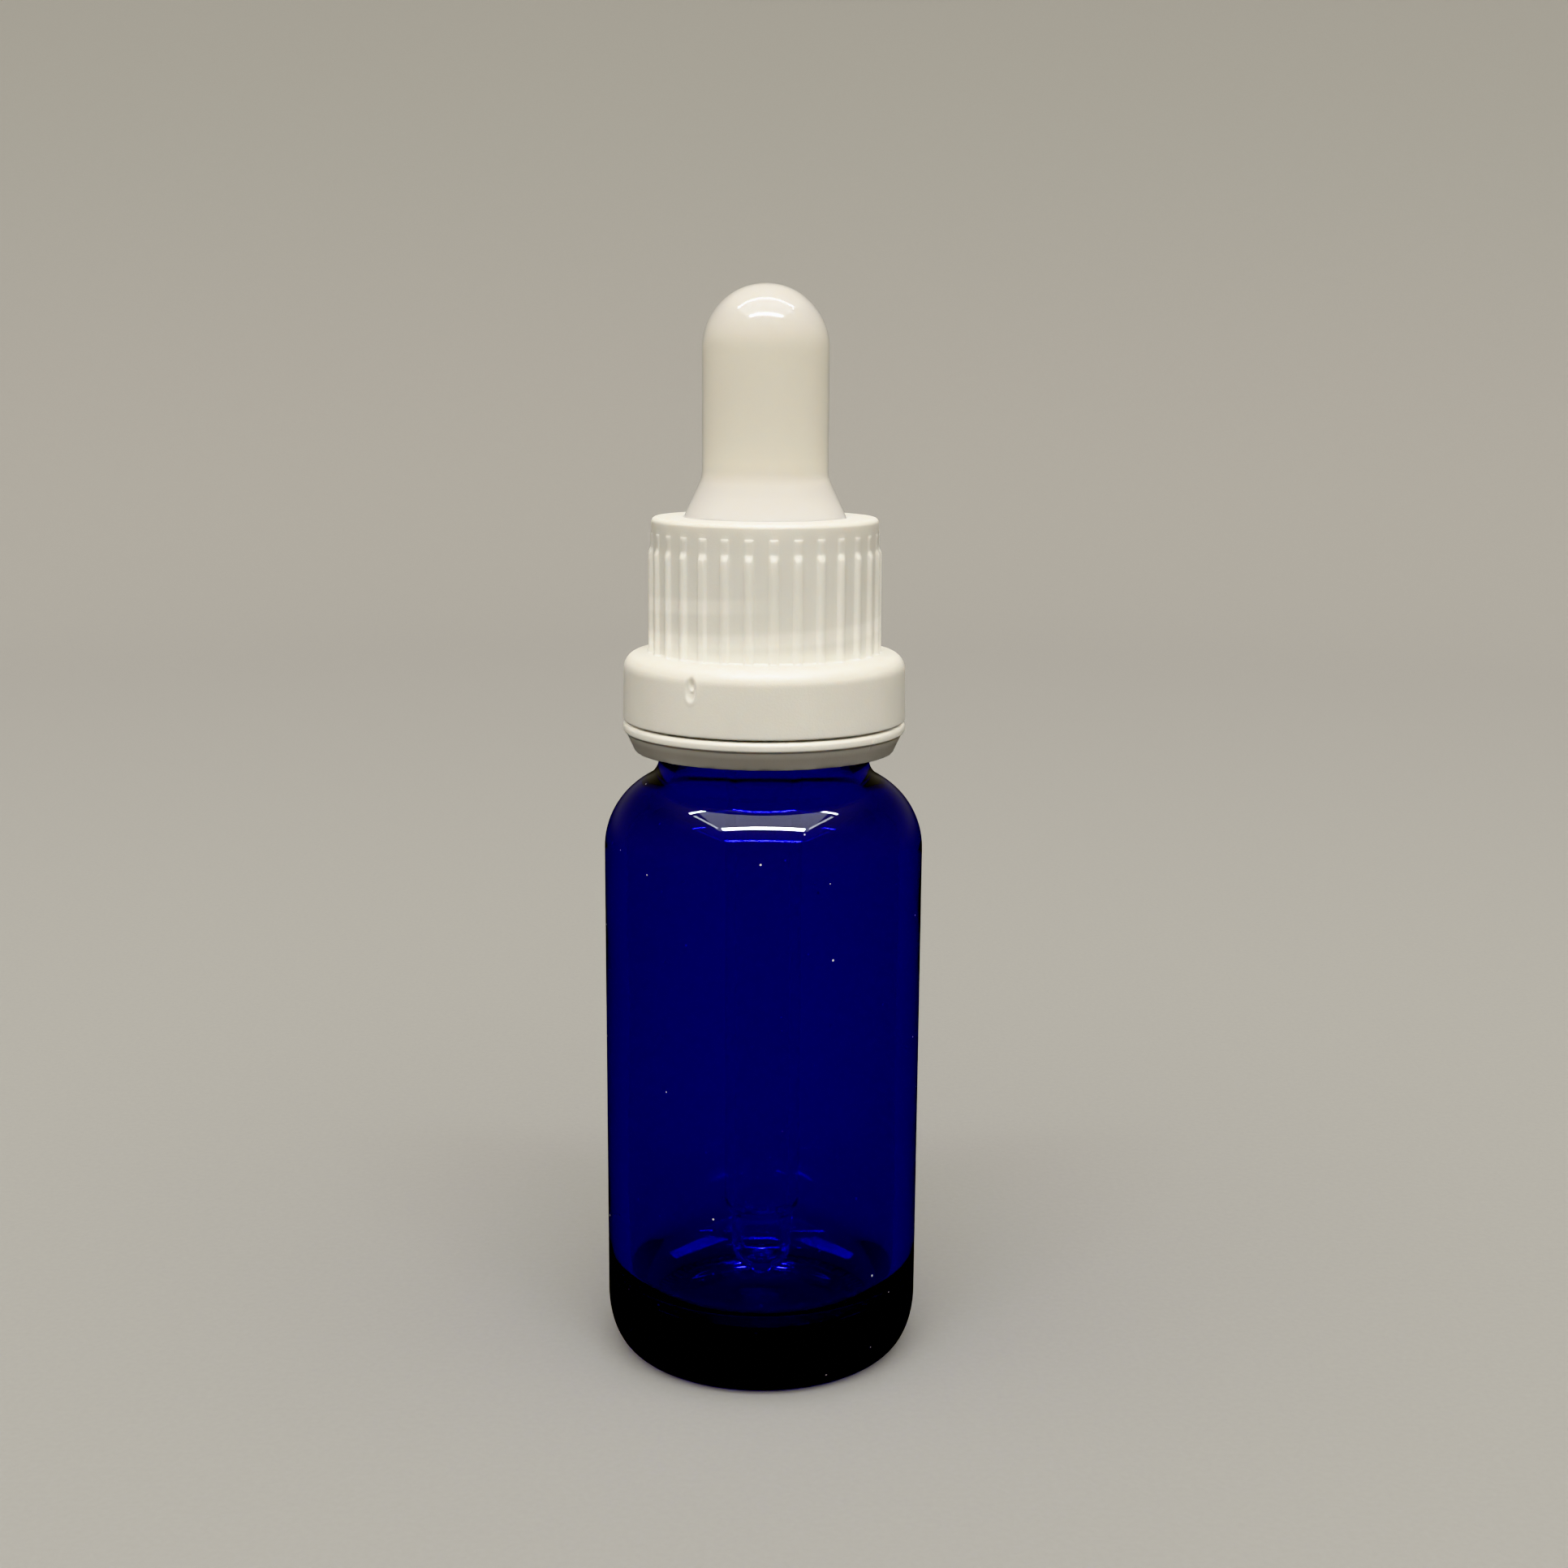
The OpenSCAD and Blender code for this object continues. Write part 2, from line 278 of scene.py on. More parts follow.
def face_outwards(mesh):
    """Turns a closed mesh's faces to the outside."""
    work = bmesh.new()
    work.from_mesh(mesh)
    bmesh.ops.recalc_face_normals(work, faces=work.faces)
    work.to_mesh(mesh)
    work.free()


def smooth(piece, sharp=55):
    """Shades the piece smooth, but for edges sharper than an angle."""
    piece.data.shade_smooth()
    piece.data.set_sharp_from_angle(angle=math.radians(sharp))


class Field:
    """A number in a node tree. Arithmetic on it adds nodes to that tree."""

    def __init__(self, tree, socket):
        self.tree = tree
        self.socket = socket

    def math(self, operation, *others):
        node = self.tree.nodes.new("ShaderNodeMath")
        node.operation = operation
        for place, value in zip(node.inputs, (self, *others)):
            feed(self.tree, value, place)
        return Field(self.tree, node.outputs[0])

    def ramp(self, start, end, low=0.0, high=1.0):
        """Goes smoothly from low at start to high at end."""
        node = self.tree.nodes.new("ShaderNodeMapRange")
        node.interpolation_type = "SMOOTHSTEP"
        for place, value in zip(node.inputs, (self, start, end, low, high)):
            feed(self.tree, value, place)
        return Field(self.tree, node.outputs[0])

    def __add__(self, other):
        return self.math("ADD", other)

    def __sub__(self, other):
        return self.math("SUBTRACT", other)

    def __mul__(self, other):
        return self.math("MULTIPLY", other)

    def __truediv__(self, other):
        return self.math("DIVIDE", other)


def feed(tree, value, place):
    """Links a field or a socket to an input, or sets a plain value on it."""
    if isinstance(value, Field):
        tree.links.new(value.socket, place)
    elif isinstance(value, bpy.types.NodeSocket):
        tree.links.new(value, place)
    else:
        place.default_value = value


def added(tree, kind, **values):
    """A new node. Values are its inputs, by name with underscores for blanks."""
    node = tree.nodes.new(kind)
    for name, value in values.items():
        feed(tree, value, node.inputs[name.replace("_", " ")])
    return node


def rule(name, sizes):
    """A new Geometry Nodes tree with named sizes. Gives the tree, its first node and its sizes as fields."""
    tree = bpy.data.node_groups.new(name, "GeometryNodeTree")
    tree.interface.new_socket("Piece", in_out="INPUT", socket_type="NodeSocketGeometry")
    tree.interface.new_socket("Finish", in_out="INPUT", socket_type="NodeSocketMaterial")
    for size in sizes:
        tree.interface.new_socket(size, in_out="INPUT", socket_type="NodeSocketFloat")
    tree.interface.new_socket("Piece", in_out="OUTPUT", socket_type="NodeSocketGeometry")
    start = tree.nodes.new("NodeGroupInput")
    return tree, start, [Field(tree, start.outputs[size]) for size in sizes]


def end_rule(tree, start, made):
    """Ends a tree: instances made real, and the finish set."""
    real = added(tree, "GeometryNodeRealizeInstances", Geometry=made)
    finish = start.outputs["Finish"]
    dressed = added(tree, "GeometryNodeSetMaterial", Geometry=real.outputs[0], Material=finish)
    end = tree.nodes.new("NodeGroupOutput")
    tree.links.new(dressed.outputs[0], end.inputs[0])
    return tree


def parts_of(tree, place):
    """X, Y and Z of a place, as fields."""
    parts = added(tree, "ShaderNodeSeparateXYZ", Vector=place)
    return [Field(tree, socket) for socket in parts.outputs]


def place_on_piece(tree):
    """X, Y and Z of a point of the piece, as fields."""
    return parts_of(tree, tree.nodes.new("GeometryNodeInputPosition").outputs[0])


def share_of(tree, name):
    """The weight that the turned piece holds under a name."""
    node = added(tree, "GeometryNodeInputNamedAttribute", Name=name)
    node.data_type = "FLOAT"
    return Field(tree, node.outputs[0])


def push_out(tree, start, x, y, rise):
    """Moves points away from the axis by rise."""
    r = (x * x + y * y).math("SQRT")
    offset = tree.nodes.new("ShaderNodeCombineXYZ")
    feed(tree, x / r * rise, offset.inputs["X"])
    feed(tree, y / r * rise, offset.inputs["Y"])
    return added(
        tree, "GeometryNodeSetPosition", Geometry=start.outputs["Piece"], Offset=offset.outputs[0]
    ).outputs[0]


def thread_course(x, y, z, low, first, pitch):
    """How far along a thread a point is, in turns, and how far beside it, in pitches."""
    turn = ((y.math("ARCTAN2", x) - first) / math.tau).math("FRACT")
    along = (z - low) / pitch - turn
    lap = along.math("ROUND")
    return turn + lap, (along - lap).math("ABSOLUTE")


def thread_rule():
    """A right-hand thread that fades in and out at its ends. A negative rise gives a thread in a bore."""
    sizes = ["Start height", "Start turn", "Pitch", "Turns", "Rise", "Foot width", "Crest width"]
    tree, start, (low, first, pitch, turns, rise, foot, crest) = rule("Screw thread", sizes)
    x, y, z = place_on_piece(tree)
    done, aside = thread_course(x, y, z, low, first, pitch)
    ridge = (aside * pitch).ramp(foot / 2, crest / 2)
    ends = done.ramp(0.0, THREAD_FADE) * (turns - done).ramp(0.0, THREAD_FADE)
    lift = ridge * ends * rise * share_of(tree, "thread_share")
    return end_rule(tree, start, push_out(tree, start, x, y, lift))


def rib_rule():
    """Grip ribs with round crests, all round a turned wall. The crests are marked for the finish."""
    tree, start, (count, rise, width, first, wall) = rule(
        "Grip ribs", ["Count", "Rise", "Width", "First turn", "Wall radius"]
    )
    x, y, _ = place_on_piece(tree)
    turn = (y.math("ARCTAN2", x) - first) / math.tau * count
    aside = (turn - turn.math("ROUND")).math("ABSOLUTE") * math.tau / count * wall
    share = share_of(tree, "rib_share")
    lift = aside.ramp(width / 2, width * 0.2) * rise * share
    crest = aside.ramp(width / 2, width * 0.4) * share.ramp(0.0, 0.5)
    marked = added(
        tree,
        "GeometryNodeStoreNamedAttribute",
        Geometry=push_out(tree, start, x, y, lift),
        Name="rib_crest",
        Value=crest,
    )
    return end_rule(tree, start, marked.outputs[0])


def knurl_rule():
    """Short bars across the ring that the base stands on: the glass between them is drawn up."""
    tree, start, (count, depth) = rule("Base knurl", ["Count", "Depth"])
    x, y, _ = place_on_piece(tree)
    turn = y.math("ARCTAN2", x) / math.tau * count
    aside = (turn - turn.math("ROUND")).math("ABSOLUTE")
    lift = aside.ramp(0.12, 0.4) * depth * share_of(tree, "knurl_share")
    offset = tree.nodes.new("ShaderNodeCombineXYZ")
    feed(tree, lift, offset.inputs["Z"])
    moved = added(
        tree, "GeometryNodeSetPosition", Geometry=start.outputs["Piece"], Offset=offset.outputs[0]
    )
    return end_rule(tree, start, moved.outputs[0])


def uneven_bore_rule():
    """The slow unevenness of a blown wall's inside."""
    tree, start, (depth, size, seed) = rule("Uneven bore", ["Depth", "Wave size", "Seed"])
    x, y, _ = place_on_piece(tree)
    wave = tree.nodes.new("ShaderNodeTexNoise")
    wave.noise_dimensions = "4D"
    feed(tree, size.math("POWER", -1.0), wave.inputs["Scale"])
    feed(tree, 1.0, wave.inputs["Detail"])
    feed(tree, seed, wave.inputs["W"])
    lift = (Field(tree, wave.outputs[0]) - 0.5) * depth * share_of(tree, "bore_share")
    return end_rule(tree, start, push_out(tree, start, x, y, lift))


def bridge_rule():
    """Tapered stubs in a ring, which join the collar to the band until the cap is first opened."""
    sizes = ["Count", "Ring radius", "Foot radius", "Tip radius", "Length", "Tip height", "First turn"]
    tree, start, (count, ring, foot, tip, length, height, first) = rule("Break bridges", sizes)
    circle = added(tree, "GeometryNodeMeshCircle", Vertices=count, Radius=ring)
    stub = added(
        tree, "GeometryNodeMeshCone", Vertices=10, Radius_Top=foot, Radius_Bottom=tip, Depth=length
    )
    row = added(tree, "GeometryNodeInstanceOnPoints", Points=circle.outputs[0], Instance=stub.outputs[0])
    lift = tree.nodes.new("ShaderNodeCombineXYZ")
    feed(tree, height, lift.inputs["Z"])
    swing = tree.nodes.new("ShaderNodeCombineXYZ")
    feed(tree, first, swing.inputs["Z"])
    placed = added(
        tree,
        "GeometryNodeTransform",
        Geometry=row.outputs[0],
        Translation=lift.outputs[0],
        Rotation=swing.outputs[0],
    )
    return end_rule(tree, start, placed.outputs[0])


def follow(piece, tree, finish, sizes):
    """Gives the piece a tree, with the tree's sizes set by their sockets' identifiers."""
    modifier = piece.modifiers.new(tree.name, "NODES")
    modifier.node_group = tree
    for socket in tree.interface.items_tree:
        if socket.in_out == "INPUT" and socket.name in sizes:
            modifier[socket.identifier] = sizes[socket.name]
        if socket.in_out == "INPUT" and socket.name == "Finish":
            modifier[socket.identifier] = finish


def settle(piece):
    """Makes what the piece's trees give its own plain mesh."""
    graph = bpy.context.evaluated_depsgraph_get()
    made = bpy.data.meshes.new_from_object(piece.evaluated_get(graph))
    piece.modifiers.clear()
    piece.data = made


def new_finish(name):
    """A new material: its tree, its shader and a place on the piece."""
    material = bpy.data.materials.new(name)
    material.use_nodes = True
    tree = material.node_tree
    shader = tree.nodes["Principled BSDF"]
    place = tree.nodes.new("ShaderNodeTexCoord").outputs["Object"]
    return material, tree, shader, place


def cloud(tree, place, size, detail=2.0):
    """Soft noise from 0 to 1, with features of about size metres."""
    node = added(tree, "ShaderNodeTexNoise", Vector=place, Scale=1.0 / size, Detail=detail)
    return Field(tree, node.outputs[0])


def specks(tree, place, spacing, share, size):
    """Small round specks, 1 in a speck and 0 elsewhere: a share of cells holds one of up to that size."""
    cells = added(tree, "ShaderNodeTexVoronoi", Vector=place, Scale=1.0 / spacing)
    pick = added(tree, "ShaderNodeSeparateColor", Color=cells.outputs["Color"])
    chosen = Field(tree, pick.outputs[0]).ramp(1.0 - share, 1.0)
    away = Field(tree, cells.outputs["Distance"])
    reach = chosen * (size / spacing)
    return (reach - away).ramp(0.0, 0.02)


def tint(tree, share, low, high):
    """A colour between low and high."""
    node = tree.nodes.new("ShaderNodeMix")
    node.data_type = "RGBA"
    feed(tree, share, node.inputs[0])
    node.inputs[6].default_value = (*low, 1)
    node.inputs[7].default_value = (*high, 1)
    return node.outputs[2]


def relief(tree, shader, height, strength, depth):
    """Fine relief from a height field."""
    bump = added(tree, "ShaderNodeBump", Height=height, Strength=strength, Distance=depth)
    tree.links.new(bump.outputs[0], shader.inputs["Normal"])


def coloured_depth(tree, colour, density):
    """Colour that deepens with the thickness of the glass."""
    depth = tree.nodes.new("ShaderNodeVolumeAbsorption")
    depth.inputs["Color"].default_value = (*colour, 1)
    depth.inputs["Density"].default_value = density
    tree.links.new(depth.outputs[0], tree.nodes["Material Output"].inputs["Volume"])


def cobalt_glass():
    """Deep blue glass, coloured mostly by its thickness. A little dust lies on it."""
    material, tree, shader, place = new_finish("cobalt_glass")
    dust = specks(tree, place, 0.002, 0.6, 0.00014)
    feed(tree, tint(tree, dust, (0.5, 0.45, 0.78), (0.8, 0.8, 0.85)), shader.inputs["Base Color"])
    feed(tree, dust * -0.85 + 1.0, shader.inputs["Transmission Weight"])
    feed(tree, cloud(tree, place, 0.012).ramp(0.45, 0.8, 0.0, 0.02) + dust * 0.6, shader.inputs["Roughness"])
    shader.inputs["IOR"].default_value = 1.52
    ripples = cloud(tree, place, 0.007, 1.0)
    relief(tree, shader, ripples, 0.12, 0.0002)
    coloured_depth(tree, (0.1, 0.05, 0.89), 1850.0)
    return material


def clear_glass():
    """Drawn clear glass with a faint grey-green depth and slow draw lines."""
    material, tree, shader, place = new_finish("clear_glass")
    shader.inputs["Base Color"].default_value = (0.98, 0.99, 0.985, 1)
    shader.inputs["Transmission Weight"].default_value = 1.0
    shader.inputs["IOR"].default_value = 1.5
    feed(tree, cloud(tree, place, 0.01).ramp(0.4, 0.8, 0.0, 0.03), shader.inputs["Roughness"])
    stretched = added(tree, "ShaderNodeMapping", Vector=place, Scale=(1.0, 1.0, 0.08))
    relief(tree, shader, cloud(tree, stretched.outputs[0], 0.003), 0.08, 0.0002)
    coloured_depth(tree, (0.75, 0.9, 0.85), 40.0)
    return material


def thick_parts(tree, place):
    """Where the cap is thicker: its collar and top, a rib's crest, and softly over the thread inside it."""
    crest = tree.nodes.new("ShaderNodeAttribute")
    crest.attribute_name = "rib_crest"
    x, y, z = parts_of(tree, place)
    low = (THREAD_LOW - CAP_THREAD_DROP) * MM
    done, aside = thread_course(x, y, z, low, math.radians(THREAD_START), THREAD_PITCH * MM)
    ends = done.ramp(0.0, THREAD_FADE) * done.ramp(THREAD_TURNS, THREAD_TURNS - THREAD_FADE)
    thread = aside.ramp(0.3, 0.1) * ends
    outside = (x * x + y * y).math("SQRT").ramp((CAP_R - 0.2) * MM, (CAP_R - 0.1) * MM)
    collar = z.ramp((COLLAR_TOP + 0.2) * MM, (COLLAR_TOP - 0.2) * MM)
    top = z.ramp((CAP_TOP - 0.6) * MM, CAP_TOP * MM)
    wall = Field(tree, crest.outputs["Fac"]) * 0.34 + thread * outside * 0.48
    return wall + collar * 0.4 + top * 0.85


def band_skirt_over_painted_shade(tree, place):
    """The band's upright wall, above its tapered foot, which is painted darker as shade under the lip."""
    height = parts_of(tree, place)[2]
    return height.ramp((BAND_LOW + 0.9) * MM, (BAND_LOW + 1.5) * MM)


def moulded_white(name, light, shade, gloss, thickness_and_painted_shade):
    """Satin moulded plastic, lighter where thicker and darker where shade is painted, slowly cloudy, with a
    fine grain and some depth.
    """
    material, tree, shader, place = new_finish(name)
    cloudy = cloud(tree, place, 0.006, 3.0)
    share = cloudy.ramp(0.3, 0.75) * 0.2 + thickness_and_painted_shade(tree, place) * 0.8
    feed(tree, tint(tree, share, shade, light), shader.inputs["Base Color"])
    grain = cloud(tree, place, 0.00016, 2.0)
    feed(tree, grain.ramp(0.3, 0.7, gloss - 0.05, gloss + 0.06), shader.inputs["Roughness"])
    relief(tree, shader, grain + cloudy * 1.5, 0.25, 0.00004)
    shader.inputs["IOR"].default_value = 1.49
    shader.inputs["Subsurface Weight"].default_value = 0.35
    shader.inputs["Subsurface Radius"].default_value = (1.0, 0.85, 0.7)
    shader.inputs["Subsurface Scale"].default_value = 0.0012
    return material


def milky_rubber():
    """Glossy soft rubber that light goes well into. Its flared foot and its dome, which face up, are painted
    darker and cooler as shade against the light from above.
    """
    material, tree, shader, place = new_finish("bulb_rubber")
    cloudy = cloud(tree, place, 0.008, 2.0)
    height = parts_of(tree, place)[2]
    foot = height.ramp((FLARE_TOP + 1.0) * MM, (FLARE_TOP - 2.0) * MM)
    dome = height.ramp((BULB_TOP - BULB_R - 1.0) * MM, (BULB_TOP - 2.0) * MM)
    # Painted shade: the foot and the dome are darkened and cooled against the light from above; only the
    # slow cloud is the rubber's own.
    thickness_and_painted_shade = (foot + dome) * 0.8 + cloudy * 0.2
    feed(tree, tint(tree, thickness_and_painted_shade, (0.845, 0.8, 0.71), (0.62, 0.61, 0.615)), shader.inputs["Base Color"])
    smear = cloud(tree, place, 0.003, 3.0)
    feed(tree, smear.ramp(0.35, 0.8, 0.07, 0.11), shader.inputs["Roughness"])
    relief(tree, shader, cloud(tree, place, 0.0012, 2.0), 0.05, 0.00004)
    shader.inputs["IOR"].default_value = 1.48
    shader.inputs["Subsurface Weight"].default_value = 1.0
    shader.inputs["Subsurface Radius"].default_value = (1.0, 0.95, 0.85)
    shader.inputs["Subsurface Scale"].default_value = 0.003
    shader.inputs["Sheen Weight"].default_value = 0.3
    shader.inputs["Sheen Roughness"].default_value = 0.35
    return material


def pale_paper():
    """Pale backdrop paper with a fine fibre."""
    material, tree, shader, place = new_finish("pale_paper")
    fibre = cloud(tree, place, 0.0006, 4.0)
    feed(tree, tint(tree, fibre, (0.285, 0.285, 0.285), (0.31, 0.31, 0.31)), shader.inputs["Base Color"])
    shader.inputs["Roughness"].default_value = 0.85
    shader.inputs["Specular IOR Level"].default_value = 0.2
    relief(tree, shader, fibre, 0.15, 0.0001)
    return material


def even_turns(count):
    """Angles in degrees, evenly all round."""
    return [360.0 * i / count for i in range(count)]


def finer_near(turns, middle, reach, step):
    """The same angles, with more of them near one."""
    near = [middle + a for a in spread(-reach, reach, round(2 * reach / step))]
    kept = [a for a in turns if min((a - middle) % 360, (middle - a) % 360) > reach + step / 2]
    return sorted(a % 360 for a in kept + near)


def on_wall(r, wall):
    """Whether a point at radius r is on a straight wall."""
    return abs(r - wall) < 0.01


def bottle_outline():
    """From the middle of the base, up the outside, over the rim and down the inside to the floor."""
    punt_r = (PUNT_R**2 + PUNT_H**2) / (2 * PUNT_H)
    punt_turn = math.degrees(math.asin(PUNT_R / punt_r))
    centre, radius, top = SHOULDER
    outside = arc((0, PUNT_H - punt_r), punt_r, 90, 90 - punt_turn, 10)[:-1]
    outside += straight((PUNT_R, 0), (FOOT_R, 0), 8)
    outside += arc((FOOT_R, HEEL[1]), HEEL[0], -90, 0, 18, HEEL[1])[1:]
    outside += straight((BODY_R, HEEL[1]), (BODY_R, centre[1]), 6)[1:]
    outside += arc(centre, radius, 0, top, 28)[1:]
    outside += arc(NECK_BLEND[0], NECK_BLEND[1], 180 + top, 180, 10)[1:]
    neck = softened(
        [
            (NECK_R, NECK_LOW, 0, 2),
            (NECK_R, BEAD_LOW, 0.3, 1),
            (BEAD_R, BEAD_LOW + BEAD_SLOPE, 0.35, 2),
            (BEAD_R, BEAD_TOP - BEAD_SLOPE, 0.35, 2),
            (ROOT_R, BEAD_TOP, 0.5, 62),
            (ROOT_R, RIM_Z - RIM_ROUND, 0, 1),
        ],
        closed=False,
    )
    neck += arc((ROOT_R - RIM_ROUND, RIM_Z - RIM_ROUND), RIM_ROUND, 0, 90, 8)[1:]
    neck += arc((MOUTH_R + RIM_ROUND, RIM_Z - RIM_ROUND), RIM_ROUND, 90, 180, 8)
    inner_centre, inner_radius, inner_top = INNER_SHOULDER
    curve = arc(INNER_BLEND[0], INNER_BLEND[1], 180, 180 + inner_top, 16)
    mouth = softened(
        [
            (MOUTH_R, RIM_Z - RIM_ROUND, 0, 2),
            (MOUTH_R, BORE_TOP, 3.0, 4),
            (NECK_BORE_R, BORE_LOW, 3.0, 1),
            (*curve[0], 0, 1),
        ],
        closed=False,
    )
    inside = mouth[1:] + curve[1:]
    inside += arc(inner_centre, inner_radius, inner_top, 0, 24)[1:]
    corner = (BORE_R - FLOOR_CORNER[0], FLOOR_Z + FLOOR_CORNER[1])
    inside += straight((BORE_R, inner_centre[1]), (BORE_R, corner[1]), 28)[1:]
    inside += arc(corner, FLOOR_CORNER[0], 0, -90, 18, FLOOR_CORNER[1])[1:]
    floor = [
        (r, FLOOR_Z + FLOOR_CROWN * (0.5 + 0.5 * math.cos(math.pi * r / corner[0])))
        for r in spread(corner[0], 0, 9)[1:]
    ]
    return outside + neck + inside + floor


def thread_sizes(low, rise, foot, crest):
    """Sizes for the thread's tree: the neck's and the cap's thread share a start, a pitch and a length."""
    return {
        "Start height": low * MM,
        "Start turn": math.radians(THREAD_START),
        "Pitch": THREAD_PITCH * MM,
        "Turns": THREAD_TURNS,
        "Rise": rise * MM,
        "Foot width": foot * MM,
        "Crest width": crest * MM,
    }


def make_bottle(finish):
    """The blown bottle, with its thread, the knurl under its base and its uneven bore."""
    outline = bottle_outline()
    inner_low = FLOOR_Z + FLOOR_CORNER[1]
    inner_high = INNER_SHOULDER[0][1]

    def bore_share(r, z):
        inside = on_wall(r, BORE_R) and inner_low < z < inner_high
        return min(1, (z - inner_low) / BORE_WAVE_FADE, (inner_high - z) / BORE_WAVE_FADE) if inside else 0

    def knurl_share(r, z):
        on_ring = z == 0 and PUNT_R < r < FOOT_R
        return min(1, 1.6 * math.sin(math.pi * (r - PUNT_R) / (FOOT_R - PUNT_R))) if on_ring else 0

    bottle = turned(
        "cobalt_bottle",
        outline,
        even_turns(288),
        shares={
            "thread_share": lambda r, z: float(on_wall(r, ROOT_R) and z > BEAD_TOP + BEAD_SLOPE),
            "bore_share": bore_share,
            "knurl_share": knurl_share,
        },
    )
    follow(bottle, thread_rule(), finish, thread_sizes(THREAD_LOW, THREAD_RISE, THREAD_FOOT, THREAD_CREST))
    follow(bottle, knurl_rule(), finish, {"Count": KNURL_COUNT, "Depth": KNURL_DEPTH * MM})
    waves = {"Depth": BORE_WAVE_DEPTH * MM, "Wave size": BORE_WAVE * MM, "Seed": 3.0}
    follow(bottle, uneven_bore_rule(), finish, waves)
    settle(bottle)
    smooth(bottle)
    return bottle


def rib_share(r, z):
    """How far a rib stands out at a height: nothing, a low flat part, then a slope to its full rise."""
    if abs(r - CAP_R) > 0.3 or z < COLLAR_TOP or z > RIB_TOP:
        return 0.0
    if z > RIB_FLAT:
        return RIB_FLAT_SHARE * min(1, (RIB_TOP - z) / RIB_END)
    if z > RIB_SLOPE:
        step = (RIB_FLAT - z) / (RIB_FLAT - RIB_SLOPE)
        return RIB_FLAT_SHARE + (RIB_SLOPE_SHARE - RIB_FLAT_SHARE) * step * step * (3 - 2 * step)
    return RIB_SLOPE_SHARE + (1 - RIB_SLOPE_SHARE) * (RIB_SLOPE - z) / (RIB_SLOPE - COLLAR_TOP)


def oval(u, v, middle, half):
    """1 in the middle of an oval spot, falling to 0 at its edge."""
    return max(0.0, 1 - ((u - middle[0]) / half[0]) ** 2 - ((v - middle[1]) / half[1]) ** 2)


def gate_mark(r, z, turn):
    """The torn spot on the collar where the plastic came in: two hollows with a ridge between."""
    side = (turn - GATE_TURN + 180) % 360 - 180
    if abs(side) > 5 or r < CAP_R + 1:
        return 0.0
    u = math.radians(side) * r
    v = z - GATE_Z
    dent = oval(u, v, middle=(0, -0.05), half=(0.5, 1.05))
    deep = oval(u, v, middle=(0.03, 0.42), half=(0.34, 0.5))
    crumb = oval(u, v, middle=(0.08, -0.12), half=(0.24, 0.16))
    around = math.exp(-(((u / 0.66) ** 2 + (v / 1.25) ** 2 - 1) ** 2) / 0.12)
    return -0.19 * dent**0.7 - 0.12 * deep**0.8 + 0.1 * crumb + 0.03 * around


def make_cap(finish):
    """The screw cap: its ribbed wall, collar and bore, with the thread in the bore and the gate mark."""
    outline = softened(
        [
            (COLLAR_BORE_R, CAP_LOW, 0.12, 1),
            (COLLAR_R, CAP_LOW, 0.16, 28),
            (COLLAR_R - 0.1, COLLAR_TOP, 1.5, 3),
            (CAP_R, COLLAR_TOP, 0.22, 10),
            (CAP_R, RIB_SLOPE + 0.05, 0, 8),
            (CAP_R, RIB_FLAT, 0, 4),
            (CAP_R, RIB_TOP - 0.14, 0, 4),
            (CAP_R, RIB_TOP + 0.02, 0, 2),
            (CAP_R, CAP_TOP, 0.45, 3),
            (BULB_HOLE_R, CAP_TOP, 0.2, 1),
            (BULB_HOLE_R, CAP_CEILING, 0.12, 1),
            (CAP_BORE_R, CAP_CEILING, 0.25, 46),
            (CAP_BORE_R, COLLAR_BORE_TOP, 0.15, 2),
            (COLLAR_BORE_R, COLLAR_BORE_TOP, 0.3, 3),
        ],
        closed=True,
        steps=8,
    )
    pitch = 360.0 / RIB_COUNT
    across = [math.degrees(a / CAP_R) for a in (0, *RIB_FLANK, *(-a for a in RIB_FLANK), RIB_GROOVE)]
    turns = [(RIB_TURN + i * pitch + a) % 360 for i in range(RIB_COUNT) for a in across]

    def cap_thread_share(r, z):
        low, high = CAP_THREAD_ROOM
        return float(on_wall(r, CAP_BORE_R) and low < z < high)

    cap = turned(
        "ribbed_cap",
        outline,
        finer_near(turns, GATE_TURN % 360, GATE_REACH, 0.25),
        shape=gate_mark,
        shares={
            "rib_share": rib_share,
            "thread_share": cap_thread_share,
        },
    )
    ribs = {
        "Count": RIB_COUNT,
        "Rise": RIB_RISE * MM,
        "Width": RIB_WIDTH * MM,
        "First turn": math.radians(RIB_TURN),
        "Wall radius": CAP_R * MM,
    }
    follow(cap, rib_rule(), finish, ribs)
    low = THREAD_LOW - CAP_THREAD_DROP
    follow(cap, thread_rule(), finish, thread_sizes(low, -THREAD_RISE, CAP_THREAD_FOOT, CAP_THREAD_CREST))
    settle(cap)
    smooth(cap)
    return cap


def make_bridges(finish):
    """The breakable bridges under the collar, which stay on the cap."""
    bridges = bpy.data.objects.new("break_bridges", bpy.data.meshes.new("break_bridges"))
    bpy.context.scene.collection.objects.link(bridges)
    sizes = {
        "Count": BRIDGE_COUNT,
        "Ring radius": BRIDGE_RING_R * MM,
        "Foot radius": BRIDGE_FOOT_R * MM,
        "Tip radius": BRIDGE_TIP_R * MM,
        "Length": BRIDGE_LENGTH * MM,
        "Tip height": (BAND_TOP + BRIDGE_GAP) * MM,
        "First turn": math.radians(180 / BRIDGE_COUNT),
    }
    follow(bridges, bridge_rule(), finish, sizes)
    settle(bridges)
    smooth(bridges, 40)
    return bridges


